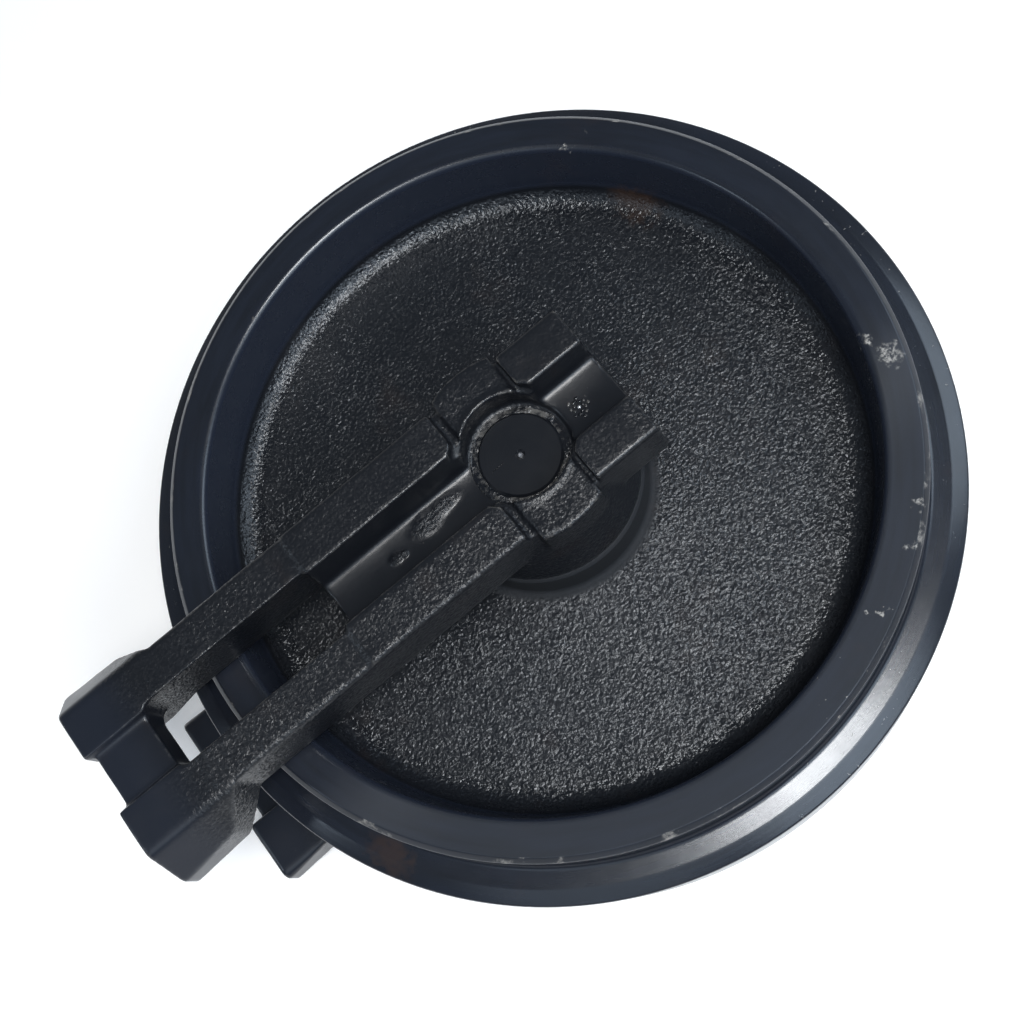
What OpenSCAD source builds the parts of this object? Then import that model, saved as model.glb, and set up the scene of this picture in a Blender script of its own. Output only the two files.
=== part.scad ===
// Front idler of a tracked excavator: a flanged guide wheel that turns on a fixed
// shaft between two cast arms. The wheel lies on its side, as it is stored.
// Origin at the wheel's centre, +Z along the shaft, +X forward, arms towards -X.

/* [Wheel] */
// Radius over the centre flange
flange_r = 290; // [275:1:310]
// Width of the centre flange at its tip
flange_tip_w = 84; // [60:1:92]
// Radial height of the flange's outer bevel
flange_bevel = 11; // [4:0.5:12]
// Width of the centre flange at its root
flange_root_w = 94; // [94:1:110]
// Blend between tread and flange
flange_blend = 5; // [2:0.5:6]
// Radius of the two treads that carry the track links
tread_r = 262.5; // [255:0.5:264]
// Width of the wheel over the two rim faces
wheel_w = 170; // [162:1:172]
// Chamfer between rim face and tread
tread_chamfer = 4; // [2:0.5:8]
// Radial width of the flat rim face
rim_face_w = 21.5; // [14:0.5:26]
// Break of the edge between rim face and inner slope
rim_edge = 3; // [2:0.5:5]
// Radius of the web where the rim's inner slope would meet it
web_foot_r = 230; // [226:0.5:232]
// Distance of the web's outer surface from the mid-plane
web_z = 27; // [24:0.5:32]
// Blend between web and rim slope
web_blend = 17; // [10:1:22]
// Wall of the hollow wheel at its webs
web_wall = 14; // [10:0.5:16]
// Wall of the hollow wheel under the treads
tread_wall = 32; // [28:0.5:36]

/* [Hub] */
// Radius of the hub boss
hub_r = 76; // [74:0.5:82]
// Distance of the hub's end face from the mid-plane
hub_end_z = 60; // [58:0.5:61]
// Break of the hub's outer edge
hub_edge = 2; // [1:0.5:4]
// Largest blend between hub and web
hub_blend = 5; // [3:0.5:8]
// Metal of the hub outside its boss, up to the hollow core
hub_wall = 12; // [8:1:20]
// Radius of the oil pocket between the two bushes
oil_pocket_r = 42; // [40:0.5:48]
// Length of the oil pocket
oil_pocket_l = 18; // [10:1:24]

/* [Shaft] */
// Shaft diameter
shaft_d = 58; // [56:0.5:60]
// Shaft length
shaft_l = 226; // [222:1:230]
// Chamfer at each shaft end
shaft_chamfer = 1.5; // [1:0.5:3]
// How far the shaft stands out of the recess floor in the arm
shaft_proud = 2; // [1:0.5:3]
// Diameter of the centre drilling in the outboard end
centre_drill_d = 7; // [4:0.5:9]
// Diameter of the oil gallery along the shaft
gallery_d = 10; // [6:0.5:12]
// Diameter of the oil plug's threaded shank
plug_d = 16; // [14:0.5:18]
// Length of the oil plug's threaded shank
plug_l = 14; // [10:0.5:18]
// Height of the oil plug's head
plug_head_h = 6; // [4:0.5:8]
// Width over the corners of the oil plug's hexagon socket
plug_socket_d = 9; // [6:0.5:11]
// Radial width of the sealing washer and the plug's head around the shank
washer_w = 4; // [3:0.5:6]
// Thickness of the sealing washer
washer_t = 1.5; // [1:0.1:2.5]

/* [Bush] */
// Wall of the bimetal bush
bush_wall = 6; // [4:0.5:6.5]
// Thickness of the bush's thrust flange
bush_flange_t = 4; // [3:0.5:6]
// Radial height of the bush's thrust flange over its barrel
bush_flange_h = 9; // [6:0.5:9]

/* [Seals] */
// Outer radius of the seal recess in hub and arm
seal_recess_r = 61; // [60:0.5:64]
// Depth of the seal recess in hub and arm
seal_recess_depth = 16; // [15:0.5:17]
// Inner radius of the floating seal rings
seal_ring_r = 48; // [47.5:0.25:49]
// Radial width of the sealing face
seal_face_w = 9; // [6:0.5:10]
// Thickness of the lip behind the sealing face
seal_lip_t = 3; // [2:0.5:3.5]
// Radial wall of the seal ring at its waist
seal_waist_w = 4; // [3.5:0.25:5]
// Room behind the seal ring, for its float
seal_float = 2.25; // [1.5:0.25:3]
// Thickness of the shaft's O-rings
o_ring_d = 3.5; // [2.5:0.1:4]

/* [Arm] */
// Reach of the arms from the shaft axis to the foot's end
arm_reach = 346.5; // [335:0.5:358]
// Half width of the arm over its two rails
arm_half_w = 55; // [50:0.5:58]
// Distance of the rail's outer face from the mid-plane
rail_z = 138; // [135:0.5:142]
// Distance of the rail's inner face from the mid-plane
rail_inner_z = 90; // [88:0.5:94]
// Half width of the channel between the rails, at its mouth
channel_half_w = 22; // [20:0.5:25]
// Half width of the nose's channel at its mouth
nose_channel_half_w = 24.5; // [20:0.5:27]
// Slope of the channel's side walls, inward over their depth
channel_draft = 5; // [4:0.5:8]
// Distance of the channel's floor from the mid-plane
floor_z = 110; // [108:0.5:112]
// Distance of the nose's floor from the mid-plane
nose_floor_z = 115; // [113:0.5:120]
// Depth of the hollow in the channel's floor
channel_hollow = 2; // [1:0.5:4]
// Distance from the shaft axis to the end of the channel's floor
floor_end = 157; // [140:1:180]
// Height of the raised guide pads on the rails
pad_h = 2; // [1:0.5:3]
// Half width of the window between the rails
window_half_w = 25; // [22:0.5:28]
// Rounding of the window's corners at the foot
window_round = 10; // [4:0.5:12]
// Reach of the nose in front of the shaft axis
nose_reach = 77; // [74:1:84]
// How far the nose's end slopes out towards the wheel
nose_slope = 4; // [1:0.5:8]
// Distance from the shaft axis to the start of the nose
nose_start = 27; // [26.5:0.5:31]
// Distance from the shaft axis to the end of the rails
rail_end = 31; // [28:0.5:36]
// Depth of the band across the head below the rails
band_depth = 9; // [6:0.5:12]
// Chamfer on the inner corners of rail ends and nose
band_chamfer = 6; // [2:0.5:8]
// Height of the tongue that stands on the band
tongue_h = 3; // [2:0.5:5]
// Half width of the tongue
tongue_half_w = 24; // [20:0.5:26]
// How far the tongue's round end stands out beyond the rails
tongue_out = 11; // [6:0.5:16]
// Height of the bead on the tongue around the recess
bead_h = 1.5; // [0.5:0.5:2]
// Width of that bead
bead_w = 2.5; // [1.5:0.5:4]
// Radius of the round recess around the shaft end
recess_r = 36.5; // [36:0.5:42]
// Radius of the arm's boss around the shaft, at the hub
boss_r = 75; // [73:0.5:76]
// Radius of the boss where it ends in the arm
boss_top_r = 60; // [58:0.5:64]
// Rounding along the outer edges of the rails
rail_round = 3; // [1:0.5:5]

/* [Foot] */
// Length of the foot's lugs along the arm
foot_l = 48; // [44:1:56]
// Length of the slope from lug to shank
foot_slope_l = 27; // [15:1:32]
// Half width over the foot's lugs at their end
foot_half_w = 77.5; // [74:0.5:86]
// How much each lug narrows from its end to its back
foot_taper = 4; // [0:0.5:6]
// Distance of the lug's inner face from the mid-plane
foot_inner_z = 80; // [70:0.5:84]
// Width of the slope from the lug's outer face to its side
foot_edge_w = 21; // [10:0.5:24]
// Depth of that slope
foot_edge_depth = 31; // [22:0.5:34]
// Length of the bridge between the lugs
bridge_l = 42.5; // [34:0.5:50]
// Rounding of the foot's outer corners
foot_round = 3; // [1:0.5:6]
// Depth of the notch in the foot's end
notch_depth = 6; // [3:0.5:12]
// Half width of that notch
notch_half_w = 21; // [16:0.5:24]
// How far the bridge lies below the rails
bridge_drop = 7; // [4:0.5:10]
// Thickness of the bridge
bridge_t = 28; // [22:0.5:32]
// Core diameter of the tapped holes in the foot's end
foot_hole_d = 17.5; // [14:0.5:20]
// Depth of the tapped holes
foot_hole_l = 40; // [30:1:46]
// Spacing of a foot's two tapped holes across the arm
foot_hole_pitch = 100; // [92:1:108]

/* [Lock pin] */
// Diameter of the pin that locks the shaft in the arm
pin_d = 14; // [10:0.5:15]
// Distance of the pin's axis from the mid-plane
pin_z = 88.5; // [87.5:0.5:89.5]
// How deep the pin bites into the shaft
pin_bite = 6; // [4:0.5:6.5]
// Length of the pin
pin_l = 104; // [90:1:108]
// Chamfer at the pin's ends
pin_chamfer = 1.5; // [0.5:0.5:2.5]

/* [Clearances] */
// Radial clearance of the bush on the shaft
run_gap = 0.05; // [0.02:0.01:0.1]
// Radial clearance of parts that are pressed or pushed together
seat_gap = 0.02; // [0.01:0.01:0.05]
// Axial play between bush flange and arm
thrust_gap = 0.5; // [0.3:0.1:0.8]
// Radial room around the bush flange
land_gap = 1; // [0.5:0.1:1.5]
// Gap between the hub's end face and the arm's boss
hub_gap = 1.5; // [1:0.1:2]
// Gap between the two floating seal faces
face_gap = 0.1; // [0.05:0.05:0.3]
// Clearance around the rubber rings
rubber_gap = 0.15; // [0.1:0.05:0.3]

/* [Hidden] */
$fn = 96;

paint_black = [0.07, 0.075, 0.085];
machined_steel = [0.62, 0.63, 0.65];
bush_bronze = [0.72, 0.55, 0.30];
seal_iron = [0.42, 0.43, 0.45];
rubber_black = [0.05, 0.05, 0.05];
copper = [0.75, 0.45, 0.30];

arc_steps = 5;      // straight pieces in each rounded corner of an outline
over = 1;           // how far a cut runs past the face that it opens
cast_r = 8;         // usual rounding on the foot's corners
core_round = 3;     // rounding inside the hollow core
seal_ramp = 4;      // length of the ramp at the foot of the seal recess
boss_edge = 2;      // break of the boss's edge at the hub
pin_room = 2;       // room behind the pin in its hole

shaft_r = shaft_d / 2;
shaft_end_z = shaft_l / 2;
rim_z = wheel_w / 2;
rim_face_r = tread_r - tread_chamfer - rim_face_w;
hub_fillet = min(hub_blend, hub_end_z - hub_edge - web_z - 0.5);
bush_r = shaft_r + bush_wall;
bush_flange_r = bush_r + bush_flange_h;
land_r = bush_flange_r + land_gap;
thrust_z = hub_end_z - hub_gap;
bush_top_z = thrust_z - thrust_gap;
bush_seat_z = bush_top_z - bush_flange_t;
boss_end_z = hub_end_z + hub_gap;
seal_mid_z = (hub_end_z + boss_end_z) / 2;
seal_waist_r = seal_ring_r + seal_waist_w;
toric_r = (seal_recess_r - seal_waist_r) / 2 - rubber_gap;
recess_floor_z = shaft_end_z - shaft_proud;
shank_z = rail_z - pad_h;
band_z = rail_z - band_depth;
bridge_top_z = rail_z - bridge_drop;
foot_mid_z = (foot_inner_z + shank_z) / 2;
foot_back = arm_reach - foot_l;
slope_back = foot_back - foot_slope_l;
bridge_x = arm_reach - notch_depth;
window_x = bridge_x - bridge_l;
nose_end = nose_reach + nose_slope;
pin_x = shaft_r + pin_d / 2 - pin_bite;
boss_top_z = band_z - boss_edge;
boss_low_z = boss_end_z + boss_edge;
boss_lean = (boss_r - boss_top_r) / (boss_top_z - boss_low_z);
pin_boss_r = boss_r - boss_lean * (pin_z + pin_d / 2 - boss_low_z);
pin_top = sqrt(pow(pin_boss_r, 2) - pow(pin_x + pin_d / 2, 2));
o_ring_z = (thrust_z + boss_end_z + seal_recess_depth) / 2;

function unit(v) = v / norm(v);
function turn(v) = [-v.y, v.x];

// Points of a corner at b between a and c, rounded with radius r
function corner(a, b, c, r) =
    r == 0 ? [b] :
    let (u = unit(a - b), v = unit(c - b))
    let (half = acos(u * v) / 2, reach = r / tan(half))
    let (centre = b + unit(u + v) * r / sin(half))
    let (p = b + u * reach - centre, q = b + v * reach - centre)
    let (side = sign(p.x * q.y - p.y * q.x), sweep = 180 - 2 * half)
    [for (i = [0 : arc_steps]) let (t = i / arc_steps * sweep)
        centre + p * cos(t) + turn(p) * side * sin(t)];

// Outline through [x, y, r] corners, each rounded with its own r
function rounded(pts) = [for (i = [0 : len(pts) - 1])
    let (a = pts[(i + len(pts) - 1) % len(pts)], b = pts[i], c = pts[(i + 1) % len(pts)])
    each corner([a.x, a.y], [b.x, b.y], [c.x, c.y], b.z)];

// Outline that is the same on both sides of the y axis, from its right-hand corners
function both_sides(pts) = concat(pts, [for (i = [len(pts) - 1 : -1 : 0]) [-pts[i].x, pts[i].y, pts[i].z]]);

// Outline that is the same above and below the x axis, from its upper corners
function up_and_down(pts) = concat(pts, [for (i = [len(pts) - 1 : -1 : 0]) [pts[i].x, -pts[i].y, pts[i].z]]);

// A section in Y and Z, drawn in x and y, run along X from x0 to x1
module along_x(x0, x1) {
    translate([x0, 0, 0])
        rotate([90, 0, 90])
            linear_extrude(x1 - x0) children();
}

// A profile in X and Z, drawn in x and y, run across Y over the given half width
module across_y(half_w) {
    translate([0, half_w, 0])
        rotate([90, 0, 0])
            linear_extrude(2 * half_w) children();
}

// A plan in X and Y, from corners of its upper half, run along Z from z0 to z1
module along_z(z0, z1, pts) {
    translate([0, 0, z0])
        linear_extrude(z1 - z0) polygon(rounded(up_and_down(pts)));
}

// A ring around the shaft, from corners given as radius and height
module ring(pts) {
    rotate_extrude() polygon(rounded(pts));
}

module inboard_side() {
    mirror([0, 0, 1]) children();
}

// Section over both rails, up to the given height
module rail_section(top_z) {
    polygon(rounded(both_sides([[arm_half_w, rail_inner_z, rail_round], [arm_half_w, top_z, rail_round]])));
}

// Shank and head in one block, with the raised pads and the sloped nose
module arm_block() {
    intersection() {
        along_z(0, rail_z, [[-bridge_x, arm_half_w, 0], [nose_end, arm_half_w, rail_round]]);
        across_y(arm_half_w)
            polygon([[-bridge_x, rail_inner_z], [nose_end, rail_inner_z], [nose_reach, rail_z],
                [-bridge_x, rail_z]]);
        union() {
            along_x(-arm_reach, nose_end) rail_section(shank_z);
            along_x(-floor_end, nose_end) rail_section(rail_z);
        }
    }
}

// The low band across the head, between the rail ends and the nose
module band_cut() {
    side = arm_half_w + over;
    along_z(band_z, rail_z + over, [[-rail_end - band_chamfer, channel_half_w, 0],
        [-rail_end, channel_half_w + band_chamfer, 0], [-rail_end, side, 0], [nose_start, side, 0],
        [nose_start, nose_channel_half_w + band_chamfer, 0],
        [nose_start + band_chamfer, nose_channel_half_w, 0]]);
}

// The tongue that crosses the head between rails and nose, with round ends and a bead
module tongue() {
    reach = arm_half_w + tongue_out;
    top_z = band_z + tongue_h;
    intersection() {
        along_z(rail_inner_z, rail_z, [[-tongue_half_w, reach, 0], [tongue_half_w, reach, 0]]);
        union() {
            cylinder(r = reach, h = top_z);
            cylinder(r = recess_r + bead_w, h = top_z + bead_h);
        }
    }
}

// The conical boss that faces the hub, and inside it the land that carries the bush's thrust
module boss() {
    ring([[shaft_r / 2, boss_end_z, 0], [boss_r - boss_edge, boss_end_z, 0], [boss_r, boss_low_z, 0],
        [boss_top_r, boss_top_z, 0], [shaft_r / 2, boss_top_z, 0]]);
    ring([[shaft_r / 2, thrust_z, 0], [land_r, thrust_z, 0], [land_r, rail_inner_z, 0],
        [shaft_r / 2, rail_inner_z, 0]]);
}

// The hammer-head foot: two lugs with sloped edges and sloped backs
module foot() {
    section = [[foot_half_w, foot_inner_z, cast_r], [foot_half_w, shank_z - foot_edge_depth, cast_r],
        [foot_half_w - foot_edge_w, shank_z, cast_r]];
    profile = [[-arm_reach, foot_inner_z], [-foot_back, foot_inner_z], [-slope_back, rail_inner_z],
        [-slope_back, shank_z], [-arm_reach, shank_z]];
    intersection() {
        along_z(0, rail_z, [[-arm_reach, foot_half_w, foot_round],
            [-foot_back, foot_half_w - foot_taper, cast_r], [-slope_back, arm_half_w, 0]]);
        along_x(-arm_reach, -slope_back) polygon(rounded(both_sides(section)));
        across_y(foot_half_w) polygon(profile);
    }
}

// Section of a channel: sloped walls over a hollow floor
module channel_section(half_w, floor_at) {
    foot_w = half_w - channel_draft;
    hollow = [for (i = [-arc_steps : arc_steps])
        let (t = i / arc_steps) [foot_w * t, floor_at + channel_hollow * pow(t, 2)]];
    polygon(concat(hollow, [[half_w, rail_z + over], [-half_w, rail_z + over]]));
}

// The channel between the rails, open at the nose
module channel_cut() {
    along_x(-floor_end, 0) channel_section(channel_half_w, floor_z);
    along_x(0, nose_end + over) channel_section(nose_channel_half_w, nose_floor_z);
}

// The space of the given half width between rails or lugs, from x0 to x1 and z0 to z1
module between_rails(x0, x1, half_w, z0, z1) {
    translate([x0, -half_w, z0])
        cube([x1 - x0, 2 * half_w, z1 - z0]);
}

// The window between bridge and floor, and the room around the bridge
module window_cut() {
    start = -arm_reach - over;
    bridge_end = window_round - window_x;
    along_z(0, rail_z + over, [[-window_x, window_half_w, window_round], [-floor_end, window_half_w, 0]]);
    between_rails(start, bridge_end, notch_half_w, bridge_top_z, rail_z + over);
    between_rails(start, bridge_end, window_half_w, 0, bridge_top_z - bridge_t);
    between_rails(start, -bridge_x, notch_half_w, 0, rail_z + over);
}

// Round recess, shaft bore, seal recess and lock pin hole
module shaft_seat_cut() {
    hole_l = pin_l + over + pin_d + pin_room;
    translate([0, 0, recess_floor_z]) cylinder(r = recess_r, h = rail_z);
    translate([0, 0, thrust_z - over]) cylinder(r = shaft_r + seat_gap, h = rail_z);
    seal_recess(boss_end_z, 1);
    translate([pin_x, pin_top + over + pin_d, pin_z])
        rotate([90, 0, 0]) cylinder(d = pin_d + 2 * seat_gap, h = hole_l);
}

// The recess for the floating seal, open at height z and running away from it along dir
module seal_recess(z, dir) {
    floor_at = z + dir * seal_recess_depth;
    ring([[land_r, z - dir * over, 0], [seal_recess_r, z - dir * over, 0],
        [seal_recess_r, floor_at - dir * seal_ramp, 0], [seal_recess_r - seal_ramp / 2, floor_at, 0],
        [land_r, floor_at, 0]]);
}

// Tapped holes in the foot's end face
module foot_holes() {
    for (side = [-1, 1])
        translate([-arm_reach - over, side * foot_hole_pitch / 2, foot_mid_z])
            rotate([0, 90, 0]) cylinder(d = foot_hole_d, h = foot_hole_l + over);
}

module arm() {
    color(paint_black)
        difference() {
            union() {
                difference() {
                    arm_block();
                    band_cut();
                }
                tongue();
                boss();
                foot();
            }
            channel_cut();
            window_cut();
            shaft_seat_cut();
            foot_holes();
        }
}

module outboard_arm() {
    arm();
}

module inboard_arm() {
    inboard_side() arm();
}

// Shaft with oil gallery, cross hole, O-ring grooves, pin notches and a centre drilling
module shaft() {
    groove_r = shaft_r - o_ring_d + rubber_gap;
    groove_w = o_ring_d + 2 * rubber_gap;
    bottom = -shaft_end_z - over;
    color(machined_steel)
        difference() {
            ring([[0, -shaft_end_z, 0], [shaft_r - shaft_chamfer, -shaft_end_z, 0],
                [shaft_r, -shaft_end_z + shaft_chamfer, 0], [shaft_r, shaft_end_z - shaft_chamfer, 0],
                [shaft_r - shaft_chamfer, shaft_end_z, 0], [0, shaft_end_z, 0]]);
            translate([0, 0, bottom]) cylinder(d = gallery_d, h = shaft_end_z + over + gallery_d / 2);
            translate([0, 0, bottom]) cylinder(d = plug_d + 2 * seat_gap, h = plug_l + 3 * over);
            rotate([0, 90, 0]) cylinder(d = gallery_d, h = shaft_r + over);
            translate([0, 0, shaft_end_z - centre_drill_d / 2])
                cylinder(d1 = 0, d2 = centre_drill_d + 2 * over, h = centre_drill_d / 2 + over);
            for (side = [-1, 1]) {
                translate([0, 0, side * o_ring_z])
                    ring([[groove_r, -groove_w / 2, 0], [shaft_r + over, -groove_w / 2, 0],
                        [shaft_r + over, groove_w / 2, 0], [groove_r, groove_w / 2, 0]]);
                translate([pin_x, shaft_d, side * pin_z])
                    rotate([90, 0, 0]) cylinder(d = pin_d + 2 * seat_gap, h = 2 * shaft_d);
            }
        }
}

// Pin that passes the shaft's notch and keeps it from turning and sliding
module lock_pin() {
    color(machined_steel)
        translate([pin_x, pin_top, pin_z])
            rotate([90, 0, 0])
                ring([[0, 0, 0], [pin_d / 2 - pin_chamfer, 0, 0], [pin_d / 2, pin_chamfer, 0],
                    [pin_d / 2, pin_l - pin_chamfer, 0], [pin_d / 2 - pin_chamfer, pin_l, 0], [0, pin_l, 0]]);
}

module outboard_lock_pin() {
    lock_pin();
}

module inboard_lock_pin() {
    inboard_side() lock_pin();
}

// O-ring in the shaft's groove inside the arm
module shaft_o_ring() {
    color(rubber_black)
        translate([0, 0, o_ring_z])
            rotate_extrude()
                translate([shaft_r - o_ring_d / 2, 0]) circle(d = o_ring_d - 2 * rubber_gap, $fn = 32);
}

module outboard_shaft_o_ring() {
    shaft_o_ring();
}

module inboard_shaft_o_ring() {
    inboard_side() shaft_o_ring();
}

// Oil filler plug in the inboard shaft end, with a hexagon socket
module oil_plug() {
    head_r = plug_d / 2 + washer_w;
    head_z = shaft_end_z + washer_t;
    top_z = head_z + plug_head_h;
    color(machined_steel)
        inboard_side()
            difference() {
                ring([[0, shaft_end_z - plug_l, 0], [plug_d / 2, shaft_end_z - plug_l, 0],
                    [plug_d / 2, head_z, 0], [head_r, head_z, 0], [head_r, top_z - 1, 0],
                    [head_r - 1, top_z, 0], [0, top_z, 0]]);
                translate([0, 0, shaft_end_z])
                    cylinder(d = plug_socket_d, h = plug_head_h + washer_t + over, $fn = 6);
            }
}

// Sealing washer under the oil plug's head
module oil_plug_washer() {
    inner_r = plug_d / 2 + seat_gap;
    outer_r = plug_d / 2 + washer_w;
    color(copper)
        inboard_side()
            ring([[inner_r, shaft_end_z, 0], [outer_r, shaft_end_z, 0], [outer_r, shaft_end_z + washer_t, 0],
                [inner_r, shaft_end_z + washer_t, 0]]);
}

// Floating seal ring, its polished face at the seal's middle, its body running along dir
module seal_ring(dir) {
    face = seal_mid_z + dir * face_gap / 2;
    lip = face + dir * seal_lip_t;
    back = seal_mid_z + dir * (seal_recess_depth + (boss_end_z - hub_end_z) / 2 - seal_float);
    face_r = seal_ring_r + seal_face_w;
    color(seal_iron)
        ring([[seal_ring_r, face, 0], [face_r, face, 0], [face_r, lip, 0],
            [seal_waist_r, lip + dir * (face_r - seal_waist_r) / 2, 0], [seal_waist_r - 1, back, 0],
            [seal_ring_r, back, 0]]);
}

// Rubber toric ring that presses a floating seal ring out of its recess
module toric(dir) {
    color(rubber_black)
        translate([0, 0, seal_mid_z + dir * (seal_recess_depth - toric_r - 2)])
            rotate_extrude()
                translate([seal_recess_r - rubber_gap - toric_r, 0]) circle(r = toric_r, $fn = 32);
}

module outboard_arm_seal_ring() {
    seal_ring(1);
}

module inboard_arm_seal_ring() {
    inboard_side() seal_ring(1);
}

module outboard_arm_toric() {
    toric(1);
}

module inboard_arm_toric() {
    inboard_side() toric(1);
}

module outboard_hub_seal_ring() {
    seal_ring(-1);
}

module inboard_hub_seal_ring() {
    inboard_side() seal_ring(-1);
}

module outboard_hub_toric() {
    toric(-1);
}

module inboard_hub_toric() {
    inboard_side() toric(-1);
}

// Hollow cast wheel: hub, two dished webs, rim with two treads and a centre flange
module idler_wheel() {
    root_z = flange_root_w / 2;
    hub = [[oil_pocket_r, oil_pocket_l / 2, 0], [bush_r + seat_gap, oil_pocket_l / 2, 0],
        [bush_r + seat_gap, bush_seat_z, 0], [land_r, bush_seat_z, 0], [land_r, hub_end_z, 0],
        [hub_r - hub_edge, hub_end_z, 0], [hub_r, hub_end_z - hub_edge, 0], [hub_r, web_z, hub_fillet]];
    rim = [[web_foot_r, web_z, web_blend], [rim_face_r - rim_edge, rim_z - rim_edge, 0],
        [rim_face_r, rim_z, 2], [rim_face_r + rim_face_w, rim_z, 0], [tread_r, rim_z - tread_chamfer, 0]];
    flange = [[tread_r, root_z, flange_blend], [flange_r - flange_bevel, root_z - 1, 0],
        [flange_r, flange_tip_w / 2, 1.5]];
    core_z = web_z - web_wall;
    core = [[hub_r + hub_wall, core_z, core_round], [tread_r - tread_wall, core_z, core_round]];
    color(paint_black)
        difference() {
            ring(up_and_down(concat(hub, rim, flange)));
            seal_recess(hub_end_z, -1);
            inboard_side() seal_recess(hub_end_z, -1);
            ring(up_and_down(core));
        }
}

// Flanged bimetal bush, pressed into the hub
module bush() {
    bore_r = shaft_r + run_gap;
    color(bush_bronze)
        ring([[bore_r, oil_pocket_l / 2, 0], [bush_r, oil_pocket_l / 2, 0], [bush_r, bush_seat_z, 0],
            [bush_flange_r, bush_seat_z, 0], [bush_flange_r, bush_top_z, 0], [bore_r, bush_top_z, 0]]);
}

module outboard_bush() {
    bush();
}

module inboard_bush() {
    inboard_side() bush();
}

outboard_arm();
inboard_arm();
shaft();
outboard_lock_pin();
inboard_lock_pin();
outboard_shaft_o_ring();
inboard_shaft_o_ring();
oil_plug();
oil_plug_washer();
outboard_arm_seal_ring();
inboard_arm_seal_ring();
outboard_arm_toric();
inboard_arm_toric();
idler_wheel();
outboard_bush();
inboard_bush();
outboard_hub_seal_ring();
inboard_hub_seal_ring();
outboard_hub_toric();
inboard_hub_toric();
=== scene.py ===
import math

import bmesh
import bpy
from mathutils import Matrix, Vector, noise


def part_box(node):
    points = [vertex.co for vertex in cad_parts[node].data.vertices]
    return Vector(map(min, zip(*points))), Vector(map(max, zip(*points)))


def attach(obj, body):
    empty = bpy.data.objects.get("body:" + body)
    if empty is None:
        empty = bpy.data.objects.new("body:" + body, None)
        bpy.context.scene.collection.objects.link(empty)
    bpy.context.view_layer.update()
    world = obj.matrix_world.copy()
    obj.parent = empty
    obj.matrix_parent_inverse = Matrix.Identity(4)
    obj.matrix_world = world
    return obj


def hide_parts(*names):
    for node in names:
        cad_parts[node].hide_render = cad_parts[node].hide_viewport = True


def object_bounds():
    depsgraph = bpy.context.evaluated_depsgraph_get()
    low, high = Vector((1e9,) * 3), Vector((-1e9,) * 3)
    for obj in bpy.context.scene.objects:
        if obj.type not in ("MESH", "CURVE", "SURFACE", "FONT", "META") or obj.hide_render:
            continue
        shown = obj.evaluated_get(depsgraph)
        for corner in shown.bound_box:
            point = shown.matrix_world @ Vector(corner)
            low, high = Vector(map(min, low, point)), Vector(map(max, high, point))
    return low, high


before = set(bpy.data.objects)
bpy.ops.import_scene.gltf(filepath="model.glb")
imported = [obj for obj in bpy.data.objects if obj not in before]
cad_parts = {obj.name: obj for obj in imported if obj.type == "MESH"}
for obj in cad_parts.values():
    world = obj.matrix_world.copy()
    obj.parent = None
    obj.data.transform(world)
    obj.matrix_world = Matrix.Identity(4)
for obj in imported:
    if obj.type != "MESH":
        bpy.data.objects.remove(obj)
CAD_BOX = [list(corner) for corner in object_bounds()]

bl_info = {
    "name": "Excavator front idler",
    "version": (1, 0, 0),
    "blender": (4, 5, 0),
    "location": "3D View > Sidebar > Idler",
    "description": "Casts, turns and paints the pieces of a crawler excavator's front idler",
    "category": "Object",
}

WHEEL_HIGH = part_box("idler_wheel")[1]
SHAFT_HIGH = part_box("shaft")[1]
FLOOR_LEVEL = CAD_BOX[0][2] - 0.0005

BOTH_SIDES = ("outboard", "inboard")
WELD = 1e-6
TURNED_SHARP = math.radians(35)
CAST_SHARP = math.radians(60)
CORNER_SEGMENTS = 9

# Marks on the photographed side: middle and reach along X, Y and Z
RIM_SCUFFS = (
    (Vector((0.2285, -0.1005, 0.085)), Vector((0.009, 0.011, 0.006))),
    (Vector((0.2225, -0.0830, 0.083)), Vector((0.004, 0.007, 0.006))),
    (Vector((0.1754, -0.1875, 0.083)), Vector((0.005, 0.005, 0.006))),
    (Vector((0.1543, -0.2043, 0.085)), Vector((0.005, 0.004, 0.006))),
    (Vector((0.1110, -0.2263, 0.085)), Vector((0.003, 0.002, 0.006))),
    (Vector((0.1041, -0.2213, 0.085)), Vector((0.003, 0.002, 0.006))),
    (Vector((0.1664, 0.1674, 0.085)), Vector((0.004, 0.003, 0.006))),
)
RUSTY_PLACES = (
    (Vector((-0.2390, -0.1370, 0.045)), Vector((0.018, 0.026, 0.010))),
    (Vector((0.1880, 0.1240, 0.033)), Vector((0.022, 0.030, 0.012))),
)
CHANNEL_LUMPS = (
    (Vector((-0.0760, 0.0050, 0.111)), Vector((0.017, 0.0095, 0.006))),
    (Vector((-0.0600, 0.0075, 0.111)), Vector((0.016, 0.0060, 0.006))),
    (Vector((-0.1075, 0.0000, 0.110)), Vector((0.007, 0.0050, 0.006))),
    (Vector((-0.1010, -0.0010, 0.110)), Vector((0.004, 0.0035, 0.006))),
)
LUMP_PITCH = 0.0035

# Zones of the arm's finish: from none to full along Y or X, and spans along X or the radius
ROUGH_RAIL = (-0.022, -0.027)
FAINT_RAIL = (0.020, 0.026)
FOOT_ZONE = (-0.285, -0.325)
NOSE_SPAN = (0.034, 0.060)
SEAT_SPAN = (0.0300, 0.0335)

# The side of the rim that hands and slings have dulled, from none to full along Y
HANDLED_SIDE = (-0.06, -0.17)

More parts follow.
